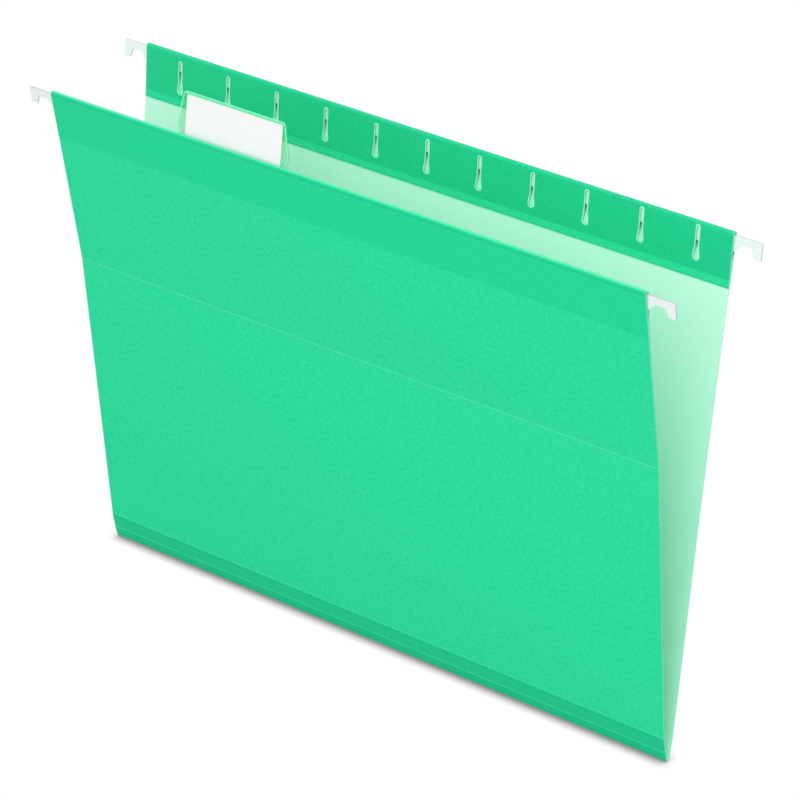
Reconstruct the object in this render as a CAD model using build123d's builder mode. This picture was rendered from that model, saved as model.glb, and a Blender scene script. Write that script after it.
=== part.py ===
from build123d import *
import os
from math import asin, atan2, cos, degrees, hypot, radians, sin, tan

# Letter-size hanging file folder, standing half open in a V on its bottom crease.
# The origin is the middle of that crease, on its underside.
# +X runs along the width, -Y is the front leaf's side and +Z is up.
# Lengths are in millimetres and angles in degrees. A tilt is measured from upright, outwards.

# Card: one creased sheet. LEAF and MID_CREASE run along a leaf from the middle of the bottom.
# RIDGE is the flat that the bottom crease leaves between its two bends.
WIDTH = 298.45
LEAF = 234.95
MID_CREASE = 149.2
RIDGE = 1.0
LOWER_STRIP = 5.1
UPPER_STRIP = 7.5
FLAP = 24.0
SEAM = 4.0
SHEET = 0.3
GLUE = 0.1
CREASE_GAP = 0.02

# Open pose of the two leaves.
REACH = 32.0
LOWER_TILT = 15.0
UPPER_TILT = 11.0
FRONT_KINK = 4.6
REAR_KINK = 1.4

# Clear film over the hem and over the bottom strips.
FILM = 0.1
FILM_DROP = 22.0

# Steel hanger rail with a hook at each end.
RAIL_THICK = 0.6
RAIL_HEIGHT = 7.0
RAIL_CLEAR = 0.45
RAIL_DROP = 0.9
HOOK_REACH = 12.7
HOOK_ARM = 3.5
HOOK_DROP = 7.4
NOTCH_START = 3.3
NOTCH_WIDTH = 4.8
TIP_WIDTH = 3.2
SHOULDER_START = 0.2
HOOK_ROUND = 0.4
NOTCH_ROUND = 1.0

# Keyhole slots in the flap, a slit that flares into a round bulb at its lower end.
# As many as fit at their pitch, with at least SLOT_MARGIN from the last slot to the card's end.
# Each row lies SLOT_SHIFT to the right of the middle, seen from its own flap's side.
SLOT_SHIFT = 1.4
SLOT_PITCH = 26.3
SLOT_MARGIN = 16.0
SLOT_TOP = 3.0
SLOT_LENGTH = 14.6
SLIT_WIDTH = 1.2
BULB_WIDTH = 2.4
FLARE_LENGTH = 5.8

# Clear tab, a folded pocket on two legs, each with a prong through a slot.
TAB_SLOT = -2
TAB_LEG_SLOTS = 1
TAB_TOP_WIDTH = 52.0
TAB_WIDTH = 58.0
TAB_NECK_WIDTH = 55.2
TAB_HEIGHT = 19.6
TAB_FLARE = 5.3
TAB_NECK = 1.6
TAB_ARCH = 1.0
TAB_LEG_WIDTH = 5.6
TAB_LEG_MARGIN = 1.3
TAB_WALL = 0.3
TAB_CLEAR = 0.05
TAB_BEND = 2.0
TAB_LEAN = 13.6
TAB_ROUND = 2.5
TAB_SILL = 0.8
PRONG_NECK = 0.8
PRONG_HEAD = 1.8
PRONG_LENGTH = 2.6
PRONG_LIP = 0.2
PRONG_THICK = 0.2
PRONG_CLEAR = 0.3
LEG_TOE = 2.5

# White card label in the tab's pocket.
LABEL_WIDTH = 49.6
LABEL_THICK = 0.25
LABEL_CLEAR = 0.1
LABEL_HEADROOM = 0.9

# Worked out from the dimensions above.
SKIN = SHEET + FILM
FOLD_RADIUS = RAIL_THICK / 2 + RAIL_CLEAR
FOLD_CENTRE = SHEET + FOLD_RADIUS
SEAM_START = FLAP - SEAM
FLAP_LEAN = degrees(
    atan2(FOLD_RADIUS - GLUE, SEAM_START - FOLD_CENTRE)
    + asin(FOLD_RADIUS / hypot(FOLD_RADIUS - GLUE, SEAM_START - FOLD_CENTRE))
)
RAIL_TOP = FOLD_RADIUS - RAIL_DROP
RAIL_FOOT = SHEET + RAIL_DROP + RAIL_HEIGHT
SLOT_COUNT = 1 + 2 * int((WIDTH / 2 - SLOT_SHIFT - SLOT_MARGIN) / SLOT_PITCH)
SLOT_FOOT = SLOT_TOP + SLOT_LENGTH
PRONG_TOP = RAIL_FOOT + PRONG_CLEAR
PRONG_FOOT = PRONG_TOP + PRONG_LENGTH
TAB_TRAVEL = SLOT_FOOT - TAB_CLEAR - PRONG_FOOT
LEG_FOOT = PRONG_FOOT + LEG_TOE
TAB_X = TAB_SLOT * SLOT_PITCH - SLOT_SHIFT
PRONG_X = TAB_LEG_SLOTS * SLOT_PITCH
POCKET = LABEL_THICK + 2 * LABEL_CLEAR
LABEL_HEIGHT = TAB_HEIGHT - TAB_SILL - LABEL_HEADROOM


def up(tilt):
    """Direction up along a stretch of card, as (outwards, up)."""
    return Vector(sin(radians(tilt)), cos(radians(tilt)))


def out(tilt):
    """Outward normal of a stretch of card, as (outwards, up)."""
    return Vector(cos(radians(tilt)), -sin(radians(tilt)))


def corner(point, tilt_below, tilt_above, depth):
    """Point at the given depth outside a bend, on the line that halves the bend."""
    half_bend = (tilt_above - tilt_below) / 2
    return point + out(tilt_below + half_bend) * (depth / cos(radians(half_bend)))


class Leaf:
    """The inner-face line of one leaf, in an end view with x outwards and y up."""

    def __init__(self, name, view, kink):
        below_mid = MID_CREASE - RIDGE / 2 - LOWER_STRIP - UPPER_STRIP
        above_mid = LEAF - MID_CREASE
        along = below_mid + above_mid * cos(radians(kink))
        aside = above_mid * sin(radians(kink))
        strips = up(LOWER_TILT) * LOWER_STRIP + up(UPPER_TILT) * UPPER_STRIP
        panel_reach = REACH - RIDGE / 2 - strips.X
        lean = asin(panel_reach / hypot(along, aside)) - atan2(aside, along)

        self.name = name
        self.view = view
        self.tilt = degrees(lean)
        self.top_tilt = self.tilt + kink
        self.flap_tilt = self.top_tilt - FLAP_LEAN
        self.crease = Vector(RIDGE / 2, SKIN)
        self.lower_score = self.crease + up(LOWER_TILT) * LOWER_STRIP
        self.upper_score = self.lower_score + up(UPPER_TILT) * UPPER_STRIP
        self.mid = self.upper_score + up(self.tilt) * below_mid
        self.top = self.mid + up(self.top_tilt) * above_mid
        self.fold = self.hem(-FOLD_RADIUS, FOLD_CENTRE)
        self.seam = self.hem(-GLUE, SEAM_START)
        self.flap_top = self.hem(-GLUE - SEAM_START * tan(radians(FLAP_LEAN)), 0)

    def hem(self, outwards, below):
        """Point near the top edge, outside the inner face and below the top of the fold."""
        return self.top + out(self.top_tilt) * outwards - up(self.top_tilt) * below

    def on_flap(self, outwards, below):
        """Point near the flap, outside its inner face and below the top of the fold."""
        return self.flap_top + out(self.flap_tilt) * outwards - up(self.flap_tilt) * below

    def facing(self, point, tilt, x=0):
        """Plane through a point of the end view, seen from outside, with y up along the tilt."""
        origin = self.view.from_local_coords(point)
        outwards = self.view.from_local_coords(out(tilt))
        return Plane((x, origin.Y, origin.Z), x_dir=-self.view.z_dir, z_dir=outwards)


front = Leaf("front", Plane((0, 0, 0), x_dir=(0, -1, 0), z_dir=(-1, 0, 0)), FRONT_KINK)
rear = Leaf("rear", Plane.YZ, REAR_KINK)


def save(piece, name):
    """Label a finished piece and write it."""
    piece.part.label = name
    export_step(piece.part, f"parts/{name}.step")


def strip(leaf, start, tilt, length, depth, thick):
    """Flat stretch of sheet between two creases, its inner face at the given depth."""
    with BuildPart() as piece:
        with BuildSketch(leaf.view):
            near = start + up(tilt) * CREASE_GAP
            far = start + up(tilt) * (length - CREASE_GAP)
            inner = out(tilt) * depth
            outer = out(tilt) * (depth + thick)
            with BuildLine():
                Polyline(near + inner, far + inner, far + outer, near + outer, close=True)
            make_face()
        extrude(amount=WIDTH / 2, both=True)
    return piece


def fold_line(leaf, depth):
    """One face of the top fold: a half turn round the rail, leaning in to meet the flap."""
    return CenterArc(leaf.fold, FOLD_RADIUS + depth, -leaf.top_tilt, 180 + FLAP_LEAN)


def slots(leaf):
    """Sketch of the flap's row of keyhole slots, on the gap side of the flap."""
    with BuildSketch(leaf.facing(leaf.flap_top, leaf.flap_tilt).offset(GLUE)) as row:
        with Locations((-SLOT_SHIFT, 0)):
            with GridLocations(SLOT_PITCH, 0, SLOT_COUNT, 1):
                add(keyhole.sketch)
    return row.sketch


# Outline of one keyhole slot, measured down from the top of the fold.
with BuildSketch() as keyhole:
    with Locations((0, BULB_WIDTH / 2 - SLOT_FOOT)):
        Circle(BULB_WIDTH / 2)
    with Locations((0, FLARE_LENGTH - SLOT_FOOT)):
        Circle(SLIT_WIDTH / 2)
    make_hull()
    with Locations((0, (FLARE_LENGTH - SLOT_FOOT - SLOT_TOP - SLIT_WIDTH / 2) / 2)):
        SlotCenterToCenter(SLOT_LENGTH - FLARE_LENGTH - SLIT_WIDTH / 2, SLIT_WIDTH, rotation=90)


def card_panel(leaf):
    """Panel, set crease, top fold and slotted flap of one leaf, all one folded sheet."""
    with BuildPart() as piece:
        with BuildSketch(leaf.view):
            with BuildLine():
                for depth in (0, SHEET):
                    foot = leaf.upper_score + up(leaf.tilt) * CREASE_GAP + out(leaf.tilt) * depth
                    bend = corner(leaf.mid, leaf.tilt, leaf.top_tilt, depth)
                    fold = fold_line(leaf, depth)
                    seam = corner(leaf.seam, leaf.flap_tilt, leaf.top_tilt, -depth)
                    hem_edge = leaf.hem(-GLUE - depth, FLAP)
                    Polyline(foot, bend, fold @ 0)
                    Polyline(fold @ 1, seam, hem_edge)
                Line(foot, leaf.upper_score + up(leaf.tilt) * CREASE_GAP)
                Line(hem_edge, leaf.hem(-GLUE, FLAP))
            make_face()
        extrude(amount=WIDTH / 2, both=True)
        extrude(slots(leaf), amount=-GLUE - 2 * SHEET, mode=Mode.SUBTRACT)
    return piece


def top_film(leaf):
    """Film over the hem, from the outside of the panel over the fold to the flap's seam."""
    seam = corner(leaf.seam, leaf.flap_tilt, leaf.top_tilt, -SHEET)
    with BuildPart() as piece:
        with BuildSketch(leaf.view):
            with BuildLine():
                for depth in (SHEET, SKIN):
                    fold = fold_line(leaf, depth)
                    outer_edge = leaf.hem(depth, FILM_DROP)
                    inner_edge = seam - out(leaf.flap_tilt) * (depth - SHEET)
                    Line(outer_edge, fold @ 0)
                    Line(fold @ 1, inner_edge)
                Line(outer_edge, leaf.hem(SHEET, FILM_DROP))
                Line(inner_edge, seam)
            make_face()
        extrude(amount=WIDTH / 2, both=True)
        extrude(slots(leaf), amount=-GLUE - 2 * SKIN, mode=Mode.SUBTRACT)
    return piece


def flap_glue(leaf):
    """Line of glue between the flap's lower edge and the panel."""
    with BuildPart() as piece:
        with BuildSketch(leaf.view):
            with BuildLine():
                Polyline(
                    leaf.hem(0, SEAM_START),
                    leaf.hem(0, FLAP),
                    leaf.hem(-GLUE, FLAP),
                    leaf.hem(-GLUE, SEAM_START),
                    close=True,
                )
            make_face()
        extrude(amount=WIDTH / 2, both=True)
    return piece


def hanger(leaf):
    """Flat steel rail, centred in the hem, with a hook beyond each end of the card."""
    end = WIDTH / 2
    ceiling = RAIL_TOP - HOOK_ARM
    with BuildPart() as piece:
        with BuildSketch(leaf.facing(leaf.fold, leaf.top_tilt - FLAP_LEAN / 2)):
            with BuildLine():
                FilletPolyline(
                    (0, RAIL_TOP),
                    (end + HOOK_REACH, RAIL_TOP),
                    (end + HOOK_REACH, RAIL_TOP - HOOK_DROP),
                    (end + HOOK_REACH - TIP_WIDTH, RAIL_TOP - HOOK_DROP),
                    (end + NOTCH_START + NOTCH_WIDTH, ceiling),
                    (end + NOTCH_START, ceiling),
                    (end + SHOULDER_START, RAIL_TOP - RAIL_HEIGHT),
                    (0, RAIL_TOP - RAIL_HEIGHT),
                    radius=[HOOK_ROUND] * 3 + [NOTCH_ROUND] + [HOOK_ROUND] * 2,
                )
                mirror(about=Plane.YZ)
            make_face()
        extrude(amount=RAIL_THICK / 2, both=True)
    return piece


def tab_holder(leaf):
    """Clear tab: two legs on the flap, a folded pocket above them, and a prong on each leg."""
    face = -SKIN - TAB_CLEAR
    tilt = leaf.flap_tilt - TAB_LEAN
    bend = leaf.on_flap(face, TAB_BEND)
    leg_foot = leaf.on_flap(face, LEG_FOOT)

    def wall(depth, height):
        return bend - out(tilt) * depth + up(tilt) * height

    front_top = wall(0, TAB_HEIGHT)
    far_face = 2 * TAB_WALL + POCKET
    fold_centre = wall(far_face / 2, TAB_HEIGHT)
    with BuildPart() as piece:
        with BuildSketch(Plane((TAB_X, 0, 0), leaf.view.x_dir, leaf.view.z_dir)):
            with BuildLine():
                Polyline(leg_foot, bend, front_top)
                CenterArc(fold_centre, far_face / 2, -tilt, 180)
                Polyline(
                    wall(far_face, TAB_HEIGHT),
                    wall(far_face, TAB_SILL - TAB_WALL),
                    wall(TAB_WALL + TAB_CLEAR, TAB_SILL - TAB_WALL),
                    wall(TAB_WALL + TAB_CLEAR, TAB_SILL),
                    wall(TAB_WALL + POCKET, TAB_SILL),
                    wall(TAB_WALL + POCKET, TAB_HEIGHT),
                )
                CenterArc(fold_centre, POCKET / 2, -tilt, 180)
                Polyline(
                    wall(TAB_WALL, TAB_HEIGHT),
                    corner(bend, leaf.flap_tilt, tilt, -TAB_WALL),
                    leg_foot - out(leaf.flap_tilt) * TAB_WALL,
                    leg_foot,
                )
            make_face()
        extrude(amount=WIDTH / 2, both=True)

        with BuildSketch(leaf.facing(bend, tilt, TAB_X)):
            with BuildLine():
                FilletPolyline(
                    (0, TAB_HEIGHT + far_face),
                    (TAB_TOP_WIDTH / 2, TAB_HEIGHT + far_face),
                    (TAB_WIDTH / 2, TAB_FLARE),
                    (TAB_NECK_WIDTH / 2, TAB_NECK),
                    (TAB_NECK_WIDTH / 2, -TAB_ARCH),
                    (0, -TAB_ARCH),
                    radius=[TAB_ROUND] * 3 + [TAB_ARCH],
                )
                mirror(about=Plane.YZ)
            make_face()
            leg_end = TAB_BEND - LEG_FOOT
            leg_x = PRONG_X + TAB_LEG_MARGIN - TAB_LEG_WIDTH / 2
            leg_middle = (TAB_FLARE + leg_end) / 2
            with Locations((-leg_x, leg_middle), (leg_x, leg_middle)):
                SlotOverall(TAB_FLARE - leg_end, TAB_LEG_WIDTH, rotation=90)
        extrude(amount=LEG_FOOT, both=True, mode=Mode.INTERSECT)

        flap_view = leaf.facing(leaf.flap_top, leaf.flap_tilt, TAB_X)
        middle = -(PRONG_TOP + PRONG_FOOT) / 2
        with BuildSketch(flap_view.offset(face)):
            with Locations((-PRONG_X, middle), (PRONG_X, middle)):
                SlotOverall(PRONG_LENGTH - 2 * PRONG_LIP, PRONG_NECK, rotation=90)
        extrude(amount=TAB_CLEAR - face)
        with BuildSketch(flap_view.offset(TAB_CLEAR)):
            with Locations((-PRONG_X, middle), (PRONG_X, middle)):
                SlotOverall(PRONG_LENGTH, PRONG_HEAD, rotation=90)
        extrude(amount=PRONG_THICK)
    return piece


def label_insert(leaf):
    """Card label standing in the tab's pocket."""
    tilt = leaf.flap_tilt - TAB_LEAN
    bend = leaf.on_flap(-SKIN - TAB_CLEAR, TAB_BEND)
    with BuildPart() as piece:
        with BuildSketch(leaf.facing(bend, tilt, TAB_X).offset(-TAB_WALL - LABEL_CLEAR)):
            with Locations((0, TAB_SILL)):
                Rectangle(LABEL_WIDTH, LABEL_HEIGHT, align=(Align.CENTER, Align.MIN))
        extrude(amount=-LABEL_THICK)
    return piece


os.makedirs("parts", exist_ok=True)
ridge = (rear, Vector(-RIDGE / 2, SKIN), 90, RIDGE)
save(strip(*ridge, depth=0, thick=SHEET), "bottom_ridge")
save(strip(*ridge, depth=SHEET, thick=FILM), "bottom_film")
for leaf in (front, rear):
    lower = (leaf, leaf.crease, LOWER_TILT, LOWER_STRIP)
    upper = (leaf, leaf.lower_score, UPPER_TILT, UPPER_STRIP)
    save(strip(*lower, depth=0, thick=SHEET), f"{leaf.name}_lower_strip")
    save(strip(*lower, depth=SHEET, thick=FILM), f"{leaf.name}_lower_film")
    save(strip(*upper, depth=0, thick=SHEET), f"{leaf.name}_upper_strip")
    save(strip(*upper, depth=SHEET, thick=FILM), f"{leaf.name}_upper_film")
    save(card_panel(leaf), f"{leaf.name}_panel")
    save(top_film(leaf), f"{leaf.name}_top_film")
    save(flap_glue(leaf), f"{leaf.name}_flap_glue")
    save(hanger(leaf), f"{leaf.name}_hanger")
save(tab_holder(front), "tab_holder")
save(label_insert(front), "label_insert")
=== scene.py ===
import math

import bmesh
import bpy
from mathutils import Euler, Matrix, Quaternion, Vector


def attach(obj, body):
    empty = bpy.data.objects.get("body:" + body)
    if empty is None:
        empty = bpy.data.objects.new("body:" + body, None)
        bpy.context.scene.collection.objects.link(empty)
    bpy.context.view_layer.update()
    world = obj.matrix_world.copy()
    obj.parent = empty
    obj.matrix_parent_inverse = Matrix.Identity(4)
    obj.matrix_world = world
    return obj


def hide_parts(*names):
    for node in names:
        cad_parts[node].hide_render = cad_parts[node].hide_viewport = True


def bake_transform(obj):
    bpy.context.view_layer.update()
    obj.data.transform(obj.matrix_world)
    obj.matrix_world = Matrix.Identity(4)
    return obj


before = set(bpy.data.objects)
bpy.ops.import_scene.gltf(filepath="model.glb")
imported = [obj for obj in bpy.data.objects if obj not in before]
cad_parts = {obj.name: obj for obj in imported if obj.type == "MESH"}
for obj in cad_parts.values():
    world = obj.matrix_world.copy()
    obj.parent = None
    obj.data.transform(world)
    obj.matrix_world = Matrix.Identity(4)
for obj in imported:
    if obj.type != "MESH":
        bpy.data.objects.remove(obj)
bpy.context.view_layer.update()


# Fold lines of the two leaves. The card is one sheet, creased along the bottom and across each leaf,
# and turned over a rail at the top into a flap. A line follows the unprinted face of a leaf, from the
# middle of the bottom ridge up, over the hem and down the flap, as (outwards, up) in metres.
mm = 0.001
half_width = 298.45 / 2 * mm
leaf_length = 234.95 * mm
leaf_reach = 32.0 * mm
middle_crease = 149.2 * mm
ridge_half = 0.5 * mm
lower_strip = 5.1 * mm
upper_strip = 7.5 * mm
lower_tilt = 15
upper_tilt = 11
card_thickness = 0.3 * mm
film_thickness = 0.1 * mm
glue_thickness = 0.1 * mm
hem_radius = 0.75 * mm
seam_start = 20.0 * mm
seam_width = 4.0 * mm
film_drop = 22.0 * mm
crease_steps = 8
hem_steps = 24
foot_stations = 6

ridge_height = card_thickness + film_thickness
panel_start = ridge_half + lower_strip + upper_strip
hem_depth = card_thickness + hem_radius
seam_gap = hem_radius - glue_thickness
seam_reach = math.hypot(seam_gap, seam_start - hem_depth)
flap_lean = math.atan2(seam_gap, seam_start - hem_depth) + math.asin(hem_radius / seam_reach)
flap_run = math.sqrt(seam_reach ** 2 - hem_radius ** 2)
hem_turn = 180 + math.degrees(flap_lean)


def along(tilt):
    """Direction along a stretch of sheet that leans outwards by a tilt in degrees."""
    return Vector((math.sin(math.radians(tilt)), math.cos(math.radians(tilt))))


def printed_side(tilt):
    """Direction out of the printed side of such a stretch."""
    return Vector((math.cos(math.radians(tilt)), -math.sin(math.radians(tilt))))


def soft_crease(before, corner, after, reach, groove):
    """Points round one crease, with a shallow groove pressed into the printed side."""
    start = corner + (before - corner).normalized() * reach
    end = corner + (after - corner).normalized() * reach
    run = (end - start).normalized()
    points = []
    for step in range(crease_steps + 1):
        t = step / crease_steps
        point = start * (1 - t) ** 2 + corner * 2 * t * (1 - t) + end * t ** 2
        points.append(point - Vector((run.y, -run.x)) * groove * (4 * t * (1 - t)) ** 2)
    return points


def panel_lean(kink):
    """Tilt of a panel that bends outwards by a kink at its middle and ends at the leaf's reach."""
    top_length = leaf_length - middle_crease
    straight = middle_crease - panel_start + top_length * math.cos(math.radians(kink))
    aside = top_length * math.sin(math.radians(kink))
    strips = along(lower_tilt) * lower_strip + along(upper_tilt) * upper_strip
    panel_reach = leaf_reach - ridge_half - strips.x
    lean = math.asin(panel_reach / math.hypot(straight, aside)) - math.atan2(aside, straight)
    return math.degrees(lean)


def fold_leaf(name, side, kink, bend, groove):
    """One leaf's line as (point, distance along the sheet), cut into the stretches that bend apart."""
    panel_tilt = panel_lean(kink)
    top_tilt = panel_tilt + kink
    ridge = Vector((0, ridge_height))
    crease = ridge + along(90) * ridge_half
    lower_score = crease + along(lower_tilt) * lower_strip
    upper_score = lower_score + along(upper_tilt) * upper_strip
    middle = upper_score + along(panel_tilt) * (middle_crease - panel_start)
    hem_start = middle + along(top_tilt) * (leaf_length - middle_crease - hem_depth)
    hem_middle = hem_start - printed_side(top_tilt) * hem_radius
    hem = [
        hem_middle + printed_side(top_tilt - hem_turn * step / hem_steps) * hem_radius
        for step in range(hem_steps + 1)
    ]
    flap_tilt = top_tilt - hem_turn
    seam = hem[-1] + along(flap_tilt) * flap_run
    flap_edge = seam + along(top_tilt - 180) * seam_width
    half_lower = crease.lerp(lower_score, 0.5)
    half_upper = lower_score.lerp(upper_score, 0.5)

    crease_part = [ridge, *soft_crease(ridge, crease, half_lower, reach=0.25 * mm, groove=0), half_lower]
    score_part = soft_crease(half_lower, lower_score, half_upper, reach=0.5 * mm, groove=0.05 * mm)
    score_part.append(half_upper)
    panel_part = soft_crease(half_upper, upper_score, middle, reach=0.6 * mm, groove=0.07 * mm)
    panel_part += [upper_score.lerp(middle, share) for share in (0.02, 0.25, 0.5)]
    panel_part.append(middle - along(panel_tilt) * bend * 1.1)
    panel_part += soft_crease(upper_score, middle, hem_start, bend, groove)
    panel_part.append(middle + along(top_tilt) * bend * 1.1)
    panel_part.append(middle.lerp(hem_start, 0.68))
    film_edge = hem_start - along(top_tilt) * (film_drop - hem_depth)
    hem_part = [film_edge, hem_start.lerp(middle, 0.012), *hem, hem[-1].lerp(seam, 0.05)]
    seam_part = [*soft_crease(hem[-1], seam, flap_edge, reach=0.5 * mm, groove=0), flap_edge]

    points = crease_part + score_part + panel_part + hem_part + seam_part
    line = [(points[0], 0.0)]
    for point in points[1:]:
        line.append((point, line[-1][1] + (point - line[-1][0]).length))
    lower = len(crease_part) - 1
    upper = lower + len(score_part)
    film = upper + len(panel_part) + 1
    at_crease = {"corner": crease, "tilt": (90 + lower_tilt) / 2, "from": -0.38 * mm, "to": 1.2 * mm}
    at_lower = {"corner": lower_score, "tilt": (lower_tilt + upper_tilt) / 2, "from": -1 * mm, "to": 1 * mm}
    at_upper = {"corner": upper_score, "tilt": 9, "from": -1.5 * mm, "to": 1.5 * mm}
    return {
        "name": name,
        "side": side,
        "crease": {"line": line[:lower + 1], **at_crease},
        "score": {"line": line[lower:upper + 1], **at_lower},
        "panel": {"line": line[upper:], **at_upper},
        "foot": {"line": line[upper:upper + foot_stations], **at_upper},
        "hem": {"line": line[film:film + len(hem_part) + crease_steps + 1]},
        "seam": seam,
        "flap_tilt": flap_tilt,
    }


front = fold_leaf("front", -1, kink=4.6, bend=0.6 * mm, groove=0.05 * mm)
rear = fold_leaf("rear", 1, kink=1.4, bend=45 * mm, groove=0)


# Card stock: stiff paper dyed pale mint all through, with a saturated green print on its outer side.
# Long fibres give it a soft mottle and a faint tooth. The print is rubbed paler along the middle crease
# and the cut ends, with a painted highlight along the upper score and a painted shadow along the flap's
# cut edge. The inside has painted shade, deeper green low in the pocket and dark in the tunnel of the
# hem, and the rear leaf's print is drawn darker than the front's as painted shade.

def new_finish(name):
    """New material, with its nodes, its links and its shader."""
    finish = bpy.data.materials.new(name)
    finish.use_nodes = True
    nodes = finish.node_tree.nodes
    return finish, nodes, finish.node_tree.links, nodes["Principled BSDF"]


def mixed_colour(nodes, links, factor, first, second):
    """Output that goes from a first colour, fixed or from another node, to a fixed second one."""
    mix = nodes.new("ShaderNodeMix")
    mix.data_type = "RGBA"
    links.new(factor, mix.inputs["Factor"])
    if isinstance(first, tuple):
        mix.inputs["A"].default_value = (*first, 1)
    else:
        links.new(first, mix.inputs["A"])
    mix.inputs["B"].default_value = (*second, 1)
    return mix.outputs["Result"]


def rescaled(nodes, links, value, **limits):
    """Output of a value mapped from one range to another."""
    scale = nodes.new("ShaderNodeMapRange")
    for end, limit in limits.items():
        scale.inputs[end.replace("_", " ").title()].default_value = limit
    links.new(value, scale.inputs["Value"])
    return scale.outputs["Result"]


def absolute(nodes, links, value):
    """Output of a value without its sign."""
    size = nodes.new("ShaderNodeMath")
    size.operation = "ABSOLUTE"
    links.new(value, size.inputs[0])
    return size.outputs["Value"]


def roughen(nodes, links, shader, height, strength, depth):
    """Bump a shader's surface by a height."""
    bump = nodes.new("ShaderNodeBump")
    bump.inputs["Strength"].default_value = strength
    bump.inputs["Distance"].default_value = depth
    links.new(height, bump.inputs["Height"])
    links.new(bump.outputs["Normal"], shader.inputs["Normal"])


def sheet_finish(name, deep, pale, cut, bands, roughness, gloss, tooth):
    """Finish for a flat sheet, drawn in the sheet's own layout of width (X) and distance (Y) in metres.

    Each band is (axis, place, reach, amount, colour): full to half its reach, and gone at its reach.
    """
    finish, nodes, links, shader = new_finish(name)
    layout = nodes.new("ShaderNodeUVMap")
    layout.uv_map = "sheet"

    cloud = nodes.new("ShaderNodeTexNoise")
    cloud.inputs["Scale"].default_value = 520
    cloud.inputs["Detail"].default_value = 3
    cloud.inputs["Roughness"].default_value = 0.9
    links.new(layout.outputs["UV"], cloud.inputs["Vector"])
    mottle = rescaled(nodes, links, cloud.outputs["Fac"], from_min=0.37, from_max=0.63)
    colour = mixed_colour(nodes, links, mottle, deep, pale)

    stretch = nodes.new("ShaderNodeMapping")
    stretch.inputs["Scale"].default_value = (320, 1300, 1)
    links.new(layout.outputs["UV"], stretch.inputs["Vector"])
    fibre = nodes.new("ShaderNodeTexNoise")
    fibre.inputs["Scale"].default_value = 1
    fibre.inputs["Detail"].default_value = 4
    fibre.inputs["Distortion"].default_value = 1.5
    links.new(stretch.outputs["Vector"], fibre.inputs["Vector"])
    roughen(nodes, links, shader, fibre.outputs["Fac"], tooth, 0.04 * mm)

    place = nodes.new("ShaderNodeSeparateXYZ")
    links.new(layout.outputs["UV"], place.inputs["Vector"])
    cut_end = ("X", half_width, 0.5 * mm, 0.5, cut)
    for axis, where, reach, amount, shade in (cut_end, *bands):
        offset = nodes.new("ShaderNodeMath")
        offset.operation = "SUBTRACT"
        offset.inputs[1].default_value = where
        links.new(absolute(nodes, links, place.outputs[axis]), offset.inputs[0])
        gap = absolute(nodes, links, offset.outputs["Value"])
        near = rescaled(nodes, links, gap, from_min=reach / 2, from_max=reach, to_min=amount, to_max=0)
        colour = mixed_colour(nodes, links, near, colour, shade)
    links.new(colour, shader.inputs["Base Color"])
    shader.inputs["Roughness"].default_value = roughness
    shader.inputs["Specular IOR Level"].default_value = gloss
    return finish


middle_crease_rub = ("Y", 149.1 * mm, 0.5 * mm, 0.26, (0.22, 0.85, 0.55))
# Painted highlight: a pale line along the upper score, where the groove's lower side faces the light.
upper_score_painted_highlight = ("Y", 13.5 * mm, 0.75 * mm, 0.35, (0.08, 0.86, 0.47))
# Painted shadow: a dark line along the flap's cut edge, where the flap stands off the panel.
flap_edge_painted_shadow = ("Y", 259.2 * mm, 0.6 * mm, 0.5, (0.02, 0.42, 0.22))
print_bands = (middle_crease_rub, upper_score_painted_highlight, flap_edge_painted_shadow)
front_print = sheet_finish(
    "front_print", deep=(0.0195, 0.700, 0.337), pale=(0.0365, 0.782, 0.385), cut=(0.22, 0.85, 0.55),
    bands=print_bands, roughness=0.8, gloss=0.12, tooth=0.35,
)
# Painted shade: the rear leaf's print is the front's print drawn darker.
rear_print_painted_shade = sheet_finish(
    "rear_print_painted_shade", deep=(0.0185, 0.651, 0.323), pale=(0.0345, 0.726, 0.367), cut=(0.22, 0.85, 0.55),
    bands=print_bands, roughness=0.8, gloss=0.12, tooth=0.35,
)
# Painted shade: deeper, more saturated green low in the pocket, where light bounces between the leaves.
pocket_painted_shade = ("Y", 0, 190 * mm, 0.3, (0.22, 0.97, 0.62))
# Painted shade: the inner card is dark inside the tunnel of the hem.
hem_tunnel_painted_shade = ("Y", 228.5 * mm, 6 * mm, 0.8, (0.10, 0.30, 0.20))
inner_card = sheet_finish(
    "inner_card", deep=(0.56, 0.94, 0.765), pale=(0.60, 0.96, 0.80), cut=(0.66, 0.97, 0.86),
    bands=(pocket_painted_shade, hem_tunnel_painted_shade), roughness=0.85, gloss=0.15, tooth=0.3,
)
cut_card = sheet_finish(
    "cut_card", deep=(0.16, 0.80, 0.48), pale=(0.22, 0.84, 0.53), cut=(0.20, 0.84, 0.53),
    bands=(), roughness=0.9, gloss=0.1, tooth=0.5,
)


def new_object(name, data):
    """Object in the scene for some data."""
    thing = bpy.data.objects.new(name, data)
    bpy.context.scene.collection.objects.link(thing)
    return thing


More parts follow.
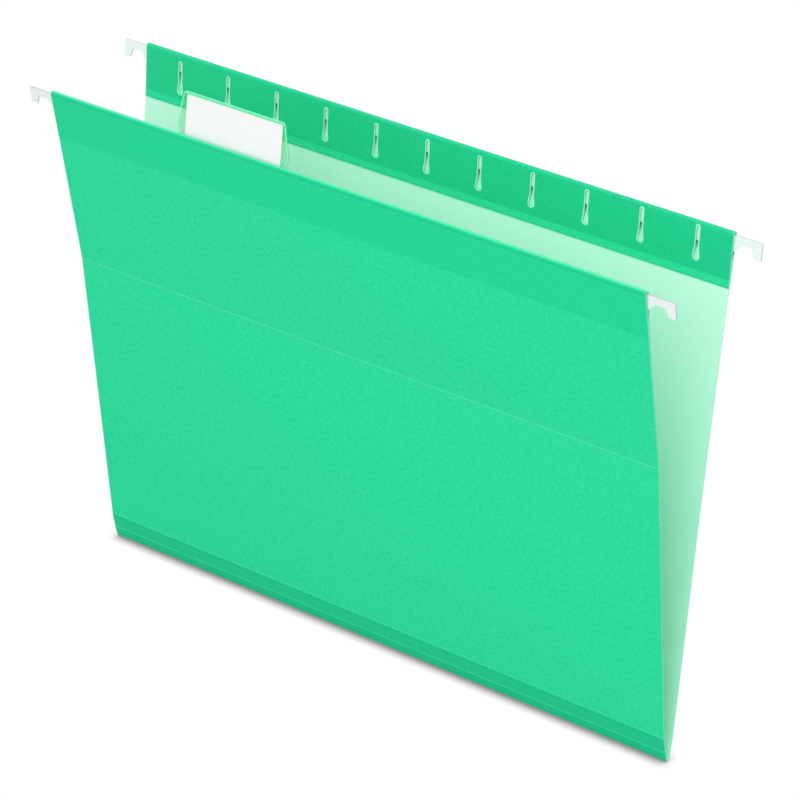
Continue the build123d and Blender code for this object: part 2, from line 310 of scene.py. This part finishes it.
def folded_sheet(name, leaf, stations, lift, thickness, finishes):
    """Sheet of even thickness along some of a leaf's line, lifted off it to the printed side."""
    sheet = bmesh.new()
    layout = sheet.loops.layers.uv.new("sheet")
    rows = []
    for i, (point, distance) in enumerate(stations):
        before = stations[max(i - 1, 0)][0]
        after = stations[min(i + 1, len(stations) - 1)][0]
        run = (after - before).normalized()
        spot = point + Vector((run.y, -run.x)) * lift
        ends = [sheet.verts.new((x, leaf["side"] * spot.x, spot.y)) for x in (-half_width, half_width)]
        rows.append((ends, distance))
    for (low, low_distance), (high, high_distance) in zip(rows, rows[1:]):
        corners = [
            (low[0], low_distance), (low[1], low_distance),
            (high[1], high_distance), (high[0], high_distance),
        ]
        if leaf["side"] > 0:
            corners.reverse()
        face = sheet.faces.new([vert for vert, distance in corners])
        for loop, (vert, distance) in zip(face.loops, corners):
            loop[layout].uv = (vert.co.x, distance)
    mesh = bpy.data.meshes.new(name)
    sheet.to_mesh(mesh)
    sheet.free()
    for finish in finishes:
        mesh.materials.append(finish)
    piece = new_object(name, mesh)
    body = piece.modifiers.new("thickness", "SOLIDIFY")
    body.thickness = thickness
    body.offset = 1
    body.use_even_offset = True
    body.material_offset = 1
    body.material_offset_rim = 2
    return piece


def settle(piece):
    """Turn a piece and its modifiers into one finished mesh with crisp edges and smooth bends."""
    ready = piece.evaluated_get(bpy.context.evaluated_depsgraph_get())
    mesh = bpy.data.meshes.new_from_object(ready)
    piece.modifiers.clear()
    piece.data = mesh
    for face in mesh.polygons:
        face.use_smooth = True
    mesh.set_sharp_from_angle(angle=math.radians(35))
    return piece


def bend_at_crease(piece):
    """Bake a piece's placement into its mesh."""
    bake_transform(piece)


card_finishes = {
    "front": (front_print, inner_card, cut_card),
    "rear": (rear_print_painted_shade, inner_card, cut_card),
}
for leaf in (front, rear):
    side = leaf["name"]
    for stretch, below, above, nodes in (
        ("crease", "bottom", f"{side}_lower", ("bottom_ridge", f"{side}_lower_strip")),
        ("score", f"{side}_lower", f"{side}_upper", (f"{side}_lower_strip", f"{side}_upper_strip")),
    ):
        strip = folded_sheet(
            f"{side}_{stretch}_card", leaf, leaf[stretch]["line"], 0, card_thickness, card_finishes[side],
        )
        settle(strip)
        bend_at_crease(strip)
        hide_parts(*nodes)


# Flap slots: a die cuts a row of eleven keyholes through the flap and its film before the hem is
# glued, and leaves a low crushed lip of bare card round each. A slit opens into a round foot, where a
# tab's prongs go in. The rear row sits slightly askew, higher to the right.
slot_pitch = 26.3 * mm
slot_shift = 1.4 * mm
slots_each_side = 5
slot_top = 3.0 * mm
slot_foot = 17.6 * mm
slit_half = 0.6 * mm
foot_half = 1.2 * mm
flare_start = 11.8 * mm
flare_angle = 7.5
seam_depth = seam_start / math.cos(flap_lean)
row_lift = {"front": 0, "rear": 0.3 * mm}
row_slope = {"front": 0, "rear": 0.008}
die_loops = [(0, -0.4 * mm), (0, 0.8 * mm)]
lip_loops = [(0, 0.3 * mm), (0, 0.46 * mm), (0.45 * mm, 0.42 * mm), (0.55 * mm, 0.38 * mm)]
crushed_card = sheet_finish(
    "crushed_card", deep=(0.32, 0.93, 0.62), pale=(0.40, 0.96, 0.69), cut=(0.38, 0.95, 0.68),
    bands=(), roughness=0.9, gloss=0.1, tooth=0.5,
)


def keyhole(growth):
    """Outline of a slot as (across, below the top of the hem), grown outwards by some distance."""
    slit = slit_half + growth
    foot = foot_half + growth
    points = []
    for step in range(13):
        angle = math.pi * (1 - step / 12)
        points.append((slit * math.cos(angle), slot_top + slit_half - slit * math.sin(angle)))
    points.append((slit, flare_start))
    for step in range(25):
        angle = math.radians(flare_angle - (180 + 2 * flare_angle) * step / 24)
        points.append((foot * math.cos(angle), slot_foot - foot_half - foot * math.sin(angle)))
    points.append((-slit, flare_start))
    return points


def on_flap(leaf, across, below, lift):
    """Place on a flap, lifted off its hidden face to the printed side."""
    spot = leaf["seam"] + along(leaf["flap_tilt"]) * (below - seam_depth)
    spot += printed_side(leaf["flap_tilt"]) * lift
    return (across, leaf["side"] * spot.x, spot.y)


def slot_loops(leaf, loops, closed, name):
    """Mesh with one run of loops (growth, lift) round every slot, capped or joined into a ring."""
    shape = bmesh.new()
    layout = shape.loops.layers.uv.new("sheet")
    for place in range(-slots_each_side, slots_each_side + 1):
        middle = place * slot_pitch + leaf["side"] * slot_shift
        raised = row_lift[leaf["name"]] + row_slope[leaf["name"]] * middle
        rings = []
        for growth, lift in loops:
            ring = [
                shape.verts.new(on_flap(leaf, middle + across, below - raised, lift))
                for across, below in keyhole(growth)
            ]
            rings.append(ring)
        pairs = list(zip(rings, rings[1:]))
        if closed:
            pairs.append((rings[-1], rings[0]))
        else:
            shape.faces.new(rings[0])
            shape.faces.new(rings[-1])
        for low, high in pairs:
            for i in range(len(low)):
                shape.faces.new((low[i - 1], low[i], high[i], high[i - 1]))
    bmesh.ops.recalc_face_normals(shape, faces=shape.faces)
    for face in shape.faces:
        for loop in face.loops:
            loop[layout].uv = (loop.vert.co.x, loop.vert.co.z)
    mesh = bpy.data.meshes.new(name)
    shape.to_mesh(mesh)
    shape.free()
    mesh.materials.append(crushed_card)
    return new_object(name, mesh)


def cut_slots(piece, leaf):
    """Punch the row of keyholes through a piece, with bare card on the cut walls."""
    die = slot_loops(leaf, die_loops, False, "slot_die")
    punch = piece.modifiers.new("slots", "BOOLEAN")
    punch.operation = "DIFFERENCE"
    punch.solver = "EXACT"
    punch.material_mode = "TRANSFER"
    punch.object = die
    bpy.context.view_layer.update()
    settle(piece)
    bpy.data.objects.remove(die)


for leaf in (front, rear):
    side = leaf["name"]
    panel = folded_sheet(
        f"{side}_panel_card", leaf, leaf["panel"]["line"], 0, card_thickness, card_finishes[side],
    )
    cut_slots(panel, leaf)
    bend_at_crease(panel)
    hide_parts(f"{side}_upper_strip", f"{side}_panel")
    lips = slot_loops(leaf, lip_loops, True, f"{side}_slot_lips")
    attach(settle(lips), f"{side}_leaf")


# Reinforcing film: clear plastic laminated over the printed card, along the bottom strips and over
# each hem from the outside to the flap's seam. It deepens the green and evens out the tooth of the
# card, and it is drawn darker on the bottom strips than on the front hem. Painted highlights with painted
# shade beside them run along the scores and the top of the front hem, and the rear leaf's film is drawn
# darker than the front's as painted shade.
# Painted shade just below the top of the front hem, and a painted highlight along its top.
hem_crown_painted_shade = ("Y", 234.2 * mm, 1.2 * mm, 0.7, (0.0095, 0.56, 0.26))
hem_crown_painted_highlight = ("Y", 234.95 * mm, 0.34 * mm, 0.5, (0.18, 0.88, 0.53))
front_laminate = sheet_finish(
    "front_laminate", deep=(0.0095, 0.660, 0.300), pale=(0.015, 0.725, 0.338), cut=(0.20, 0.84, 0.53),
    bands=(hem_crown_painted_shade, hem_crown_painted_highlight), roughness=0.55, gloss=0.14, tooth=0.2,
)
# Painted shade: the rear leaf's film is drawn darker than the front's.
rear_laminate_painted_shade = sheet_finish(
    "rear_laminate_painted_shade", deep=(0.0125, 0.558, 0.262), pale=(0.019, 0.612, 0.296), cut=(0.20, 0.84, 0.53),
    bands=(), roughness=0.55, gloss=0.14, tooth=0.2,
)
# Painted highlight along the lower score, and painted shade just below both scores.
lower_score_painted_highlight = ("Y", 5.6 * mm, 0.75 * mm, 0.6, (0.028, 0.80, 0.42))
lower_score_painted_shade = ("Y", 4.2 * mm, 0.6 * mm, 0.45, (0.004, 0.52, 0.235))
upper_score_painted_shade = ("Y", 11.9 * mm, 0.6 * mm, 0.5, (0.004, 0.52, 0.235))
bottom_laminate = sheet_finish(
    "bottom_laminate", deep=(0.008, 0.600, 0.285), pale=(0.012, 0.655, 0.320), cut=(0.18, 0.80, 0.50),
    bands=(lower_score_painted_highlight, lower_score_painted_shade, upper_score_painted_shade), roughness=0.55, gloss=0.14, tooth=0.2,
)
pressed_edge = sheet_finish(
    "pressed_edge", deep=(0.05, 0.80, 0.43), pale=(0.07, 0.86, 0.47), cut=(0.18, 0.80, 0.50),
    bands=(), roughness=0.6, gloss=0.14, tooth=0.2,
)
hem_laminates = {"front": front_laminate, "rear": rear_laminate_painted_shade}
for leaf in (front, rear):
    side = leaf["name"]
    for stretch, below, above, nodes in (
        ("crease", "bottom", f"{side}_lower", ("bottom_film", f"{side}_lower_film")),
        ("score", f"{side}_lower", f"{side}_upper", (f"{side}_lower_film", f"{side}_upper_film")),
        ("foot", f"{side}_upper", f"{side}_leaf", (f"{side}_upper_film",)),
    ):
        film = folded_sheet(
            f"{side}_{stretch}_film", leaf, leaf[stretch]["line"], card_thickness, film_thickness,
            (bottom_laminate, bottom_laminate, pressed_edge),
        )
        settle(film)
        bend_at_crease(film)
        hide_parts(*nodes)
    hem_film = folded_sheet(
        f"{side}_hem_film", leaf, leaf["hem"]["line"], card_thickness, film_thickness,
        (hem_laminates[side], hem_laminates[side], pressed_edge),
    )
    cut_slots(hem_film, leaf)
    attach(hem_film, f"{side}_leaf")
    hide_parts(f"{side}_top_film")


# Flap glue: a thin bead of dried adhesive that holds the flap's lower edge to the panel. It shows
# only as a pale line in the open ends of the hem, slightly uneven where it was rolled on.

def grain(nodes, links, scale, detail=2):
    """Output of an even noise through the solid."""
    place = nodes.new("ShaderNodeTexCoord")
    noise = nodes.new("ShaderNodeTexNoise")
    noise.inputs["Scale"].default_value = scale
    noise.inputs["Detail"].default_value = detail
    links.new(place.outputs["Object"], noise.inputs["Vector"])
    return noise.outputs["Fac"]


def dress(node, finish):
    """Give a CAD solid its finish."""
    node.data.materials.clear()
    node.data.materials.append(finish)


glue, nodes, links, shader = new_finish("dried_glue")
blobs = grain(nodes, links, 600)
glue_colour = mixed_colour(nodes, links, blobs, (0.62, 0.72, 0.60), (0.80, 0.84, 0.74))
links.new(glue_colour, shader.inputs["Base Color"])
shader.inputs["Roughness"].default_value = 0.35
for side in ("front", "rear"):
    dress(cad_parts[f"{side}_flap_glue"], glue)


# Hanger rails: flat steel strip blanked with a hook at each end, coated in pale cool-grey enamel and
# held in the hem. The coat pools a little, and it is drawn darker along the blanked edges.
enamel, nodes, links, shader = new_finish("rail_enamel")
pool = grain(nodes, links, 160, 3)
enamel_colour = mixed_colour(nodes, links, pool, (0.82, 0.87, 0.875), (0.88, 0.92, 0.925))
face_turn = nodes.new("ShaderNodeSeparateXYZ")
links.new(nodes.new("ShaderNodeNewGeometry").outputs["True Normal"], face_turn.inputs["Vector"])
flatness = absolute(nodes, links, face_turn.outputs["Y"])
# Drawn darker on faces that turn away from the rail's flat sides, along the blanked edges.
edge_darkening = rescaled(nodes, links, flatness, from_min=0.5, from_max=0.8, to_min=0.75, to_max=0)
enamel_colour = mixed_colour(nodes, links, edge_darkening, enamel_colour, (0.32, 0.36, 0.37))
links.new(enamel_colour, shader.inputs["Base Color"])
roughen(nodes, links, shader, pool, 0.15, 0.1 * mm)
shader.inputs["Roughness"].default_value = 0.35
for side in ("front", "rear"):
    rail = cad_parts[f"{side}_hanger"]
    dress(rail, enamel)
    softened = rail.modifiers.new("softened_edges", "BEVEL")
    softened.width = 0.08 * mm
    softened.segments = 2
    softened.limit_method = "ANGLE"
    softened.angle_limit = math.radians(40)


# Index tab: plastic sheet folded over at the top into a pocket, on two legs that lie on the flap with a
# prong through a slot each. It is clear in front and tinted green behind the label. The fold, a narrow
# rim round the front wall and the cut edges carry a painted highlight in bright mint.
rim_width = 0.45 * mm
same_way = 0.999
nearly_upright = 0.8


def plastic_wall(name, tint, opacity):
    """Finish for one wall of the tab, see-through with a faint haze in its gloss."""
    wall, nodes, links, shader = new_finish(name)
    haze = rescaled(nodes, links, grain(nodes, links, 120, 4), to_min=0.08, to_max=0.22)
    links.new(haze, shader.inputs["Roughness"])
    shader.inputs["Base Color"].default_value = (*tint, 1)
    shader.inputs["Specular IOR Level"].default_value = 0.2
    shader.inputs["Alpha"].default_value = opacity
    return wall


clear_plastic = plastic_wall("clear_plastic", (0.85, 0.95, 0.90), 0.03)
tinted_plastic = plastic_wall("tinted_plastic", (0.01, 0.60, 0.18), 0.21)
# Painted highlight: the tab's fold, front rim and cut edges are coloured bright mint.
edge_painted_highlight, nodes, links, shader = new_finish("plastic_edge_painted_highlight")
edge_colour = mixed_colour(nodes, links, grain(nodes, links, 900), (0.17, 0.94, 0.48), (0.25, 0.98, 0.56))
links.new(edge_colour, shader.inputs["Base Color"])
shader.inputs["Roughness"].default_value = 0.3
tab_finishes = (clear_plastic, tinted_plastic, edge_painted_highlight)

label_front = max(
    (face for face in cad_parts["label_insert"].data.polygons if face.normal.y < 0),
    key=lambda face: face.area,
)
tab_mesh = bpy.data.meshes.new("index_tab")
tab_shape = bmesh.new()
tab_shape.from_mesh(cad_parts["tab_holder"].data)
tab_shape.normal_update()
front_wall = []
for face in tab_shape.faces:
    before_label = (face.calc_center_median() - label_front.center).dot(label_front.normal) > 0
    upright = abs(face.normal.y) > nearly_upright
    face.material_index = tab_finishes.index(clear_plastic)
    if before_label and face.normal.dot(label_front.normal) > same_way:
        front_wall.append(face)
    elif before_label and not upright:
        face.material_index = tab_finishes.index(edge_painted_highlight)
    elif upright and not before_label:
        face.material_index = tab_finishes.index(tinted_plastic)
rim = bmesh.ops.inset_region(
    tab_shape, faces=front_wall, thickness=rim_width, use_boundary=True, use_even_offset=True,
)
for face in rim["faces"]:
    face.material_index = tab_finishes.index(edge_painted_highlight)
tab_shape.to_mesh(tab_mesh)
tab_shape.free()
for finish in tab_finishes:
    tab_mesh.materials.append(finish)
tab = new_object("index_tab", tab_mesh)
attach(tab, "tab")
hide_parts("tab_holder")


# Label: a slip of smooth white card, cut to the tab's pocket and left blank. It stands loose in the
# pocket, so that it can be drawn out at either end.
label_card, nodes, links, shader = new_finish("label_card")
label_fibre = grain(nodes, links, 700, 5)
label_colour = mixed_colour(nodes, links, label_fibre, (0.87, 0.875, 0.88), (0.90, 0.905, 0.91))
links.new(label_colour, shader.inputs["Base Color"])
roughen(nodes, links, shader, label_fibre, 0.15, 0.03 * mm)
shader.inputs["Roughness"].default_value = 0.7
shader.inputs["Specular IOR Level"].default_value = 0.2
dress(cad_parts["label_insert"], label_card)


# Studio: the folder stands on a white sweep, which looks plain white to the camera apart from a narrow
# painted shadow where the bottom ridge meets it, drawn from ambient occlusion and not cast by the lamp,
# and lights the folder from below as a real one does.
# A leaf that is folded flat and dips under the sweep still shows and is lit through it.
white = (1, 1, 1, 1)
shade_stops = ((0.42, (0.26, 0.29, 0.27, 1)), (0.62, (0.60, 0.60, 0.60, 1)), (0.97, white))


def seen_rays(nodes, links):
    """Factor of 1 for rays that show a surface: straight to the camera, mirrored or through plastic."""
    ray = nodes.new("ShaderNodeLightPath")
    seen = ray.outputs["Is Camera Ray"]
    for kind in ("Is Glossy Ray", "Is Transmission Ray"):
        either = nodes.new("ShaderNodeMath")
        either.operation = "MAXIMUM"
        links.new(seen, either.inputs[0])
        links.new(ray.outputs[kind], either.inputs[1])
        seen = either.outputs["Value"]
    return seen


def mixed_shader(nodes, links, factor, first, second):
    """Output that goes from a first shader to a second one."""
    mix = nodes.new("ShaderNodeMixShader")
    links.new(factor, mix.inputs["Fac"])
    links.new(first, mix.inputs[1])
    links.new(second, mix.inputs[2])
    return mix.outputs["Shader"]


sweep_mesh = bpy.data.meshes.new("sweep")
sweep_shape = bmesh.new()
bmesh.ops.create_grid(sweep_shape, x_segments=1, y_segments=1, size=4)
sweep_shape.to_mesh(sweep_mesh)
sweep_shape.free()
sweep = new_object("sweep", sweep_mesh)
sweep.location.z = -0.05 * mm

sweep_white, nodes, links, shader = new_finish("sweep_white")
nodes.remove(shader)
matt = nodes.new("ShaderNodeBsdfDiffuse")
matt.inputs["Color"].default_value = (0.5, 0.5, 0.5, 1)
# Painted shadow: ambient occlusion over a few millimetres, turned by a ramp into the tint the camera sees
# on the sweep.
contact = nodes.new("ShaderNodeAmbientOcclusion")
contact.samples = 24
contact.inputs["Distance"].default_value = 6.2 * mm
shadow = nodes.new("ShaderNodeValToRGB")
ramp = shadow.color_ramp.elements
ramp.new(shade_stops[1][0])
for stop, (position, colour) in zip(ramp, shade_stops):
    stop.position = position
    stop.color = colour
links.new(contact.outputs["AO"], shadow.inputs["Fac"])
seen_white = nodes.new("ShaderNodeBsdfTransparent")
links.new(shadow.outputs["Color"], seen_white.inputs["Color"])
from_above = mixed_shader(
    nodes, links, seen_rays(nodes, links), matt.outputs["BSDF"], seen_white.outputs["BSDF"],
)
from_below = nodes.new("ShaderNodeBsdfTransparent").outputs["BSDF"]
underside = nodes.new("ShaderNodeNewGeometry").outputs["Backfacing"]
sweep_surface = mixed_shader(nodes, links, underside, from_above, from_below)
links.new(sweep_surface, nodes["Material Output"].inputs["Surface"])
sweep_mesh.materials.append(sweep_white)


# Light: an even white surround, with one large soft lamp high on the right-hand side that brightens
# the right end of the folder and the mouth of the pocket.
lamp_target = Vector((0, 0, 0.12))
world = bpy.data.worlds.new("surround")
world.use_nodes = True
bpy.context.scene.world = world
surround = world.node_tree.nodes["Background"]
surround.inputs["Color"].default_value = white
surround.inputs["Strength"].default_value = 1.0

lamp_data = bpy.data.lights.new("soft_lamp", "AREA")
lamp_data.shape = "DISK"
lamp_data.size = 0.9
lamp_data.energy = 5.2
lamp = new_object("soft_lamp", lamp_data)
lamp.visible_camera = False
lamp.location = (0.42, -0.82, 1.04)
lamp.rotation_mode = "QUATERNION"
lamp.rotation_quaternion = (lamp.location - lamp_target).to_track_quat("Z", "Y")


# Camera: a long lens from the front right, above the folder. It looks down by its drop, is turned
# from straight ahead by its turn, and is held askew by its roll, all in degrees.
camera_drop = 29.387
camera_turn = 36.561
camera_roll = 0.336
camera_data = bpy.data.cameras.new("camera")
camera_data.lens = 165.86
camera_data.sensor_width = 36
camera = new_object("camera", camera_data)
camera.location = (0.8084, -1.0764, 0.8790)
aim = Euler((math.radians(90 - camera_drop), 0, math.radians(camera_turn))).to_quaternion()
camera.rotation_euler = (aim @ Quaternion((0, 0, 1), math.radians(camera_roll))).to_euler()
bpy.context.scene.camera = camera
bpy.context.scene.view_settings.view_transform = "Standard"
